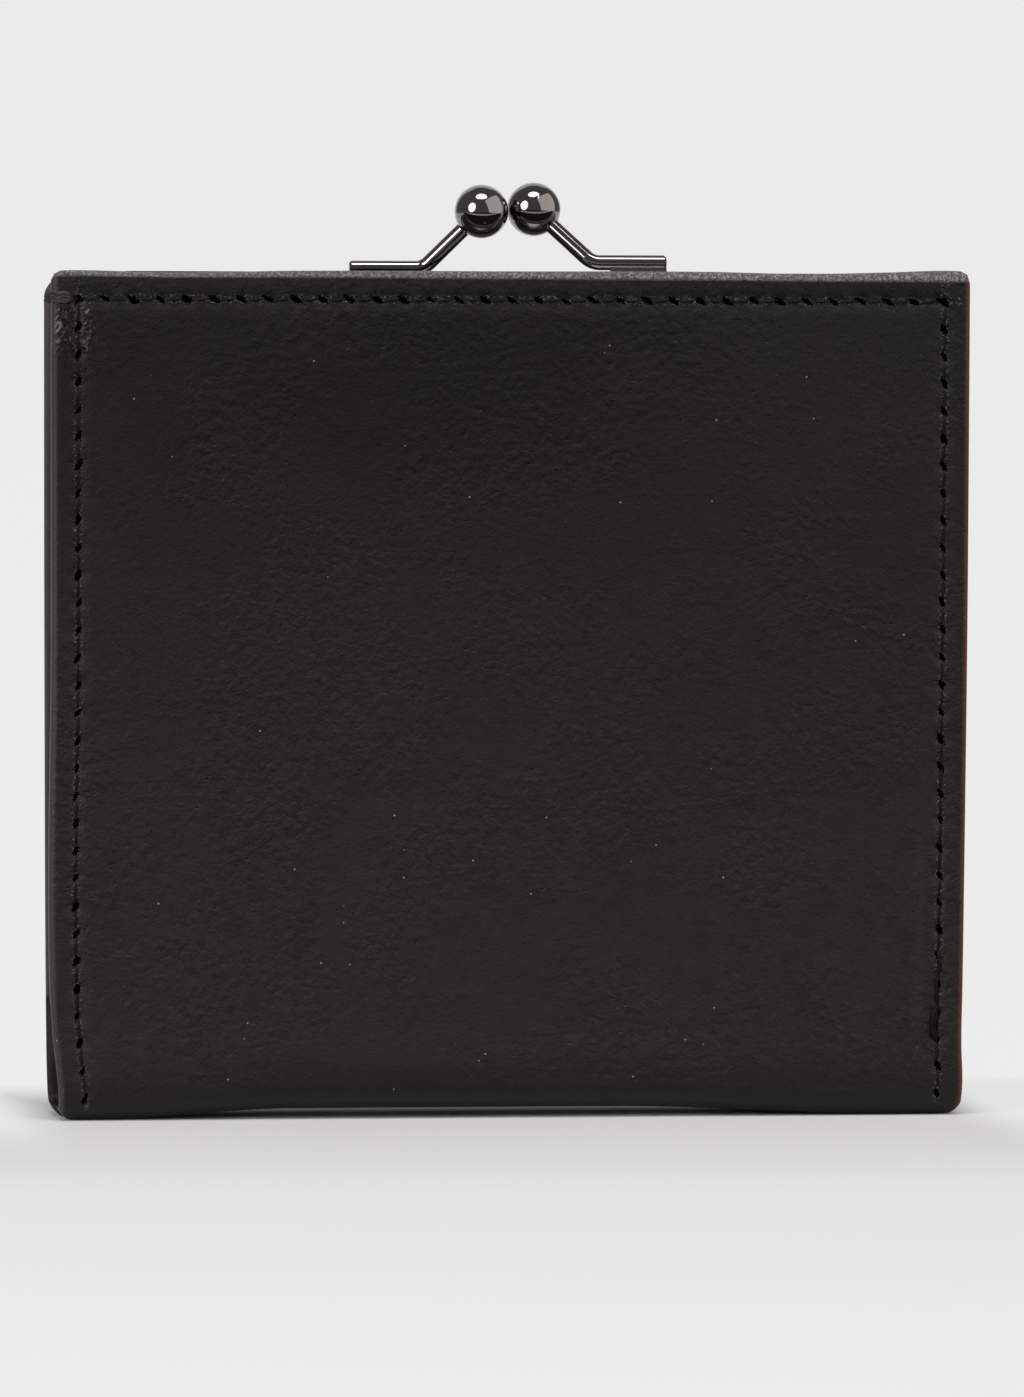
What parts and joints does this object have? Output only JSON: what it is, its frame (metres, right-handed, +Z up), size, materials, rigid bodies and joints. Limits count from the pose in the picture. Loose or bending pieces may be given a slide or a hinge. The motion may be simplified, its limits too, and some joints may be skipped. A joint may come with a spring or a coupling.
{
  "type": "kiss lock frame purse",
  "caption": "Flat leather purse on a hinged channel frame, closed by a crossing ball clasp; opens at the top to hold coins and cards.",
  "frame": {"origin": "middle of the purse on the surface that it stands on", "axes": "+X to the right along the width, -Y towards the front panel, +Z up"},
  "size_m": [0.109, 0.0136, 0.1107],
  "materials": {
    "outer_leather": "black full-grain leather with a fine pebbled grain and a satin sheen",
    "facing_leather": "thin black facing leather with dyed, burnished edges",
    "stiff_board": "plain pressed fibre board, hidden inside the panel",
    "frame_metal": "dark plated steel channel, satin",
    "clasp_metal": "polished gunmetal plating",
    "paper_cord": "twisted paper cord",
    "lining_cloth": "plain dark woven lining"
  },
  "bodies": {
    "pouch": {"bottom_fold": "outer_leather", "lining_fold": "lining_cloth", "left_gusset": "lining_cloth", "right_gusset": "lining_cloth", "left_rivet": "frame_metal", "right_rivet": "frame_metal"},
    "front_half": {"front_cover": "outer_leather", "front_board": "stiff_board", "front_facing": "facing_leather", "front_rail": "frame_metal", "front_clasp_rod": "clasp_metal", "front_clasp_ball": "clasp_metal", "front_crimp_cord": "paper_cord", "front_lining": "lining_cloth"},
    "back_half": {"back_cover": "outer_leather", "back_board": "stiff_board", "back_facing": "facing_leather", "back_rail": "frame_metal", "back_clasp_rod": "clasp_metal", "back_clasp_ball": "clasp_metal", "back_crimp_cord": "paper_cord", "back_lining": "lining_cloth"}
  },
  "joints": [
    {"name": "front_opens", "type": "hinge", "parent": "pouch", "child": "front_half", "pos_m": [0, 0, 0.012], "axis": [1, 0, 0], "range_deg": [0, 25], "deforming": ["bottom_fold", "lining_fold", "left_gusset", "right_gusset"]},
    {"name": "back_opens", "type": "hinge", "parent": "pouch", "child": "back_half", "pos_m": [0, 0, 0.012], "axis": [-1, 0, 0], "range_deg": [0, 25]}
  ],
  "couplings": [
    {"joint": "back_opens", "follows": "front_opens", "ratio": 1}
  ]
}
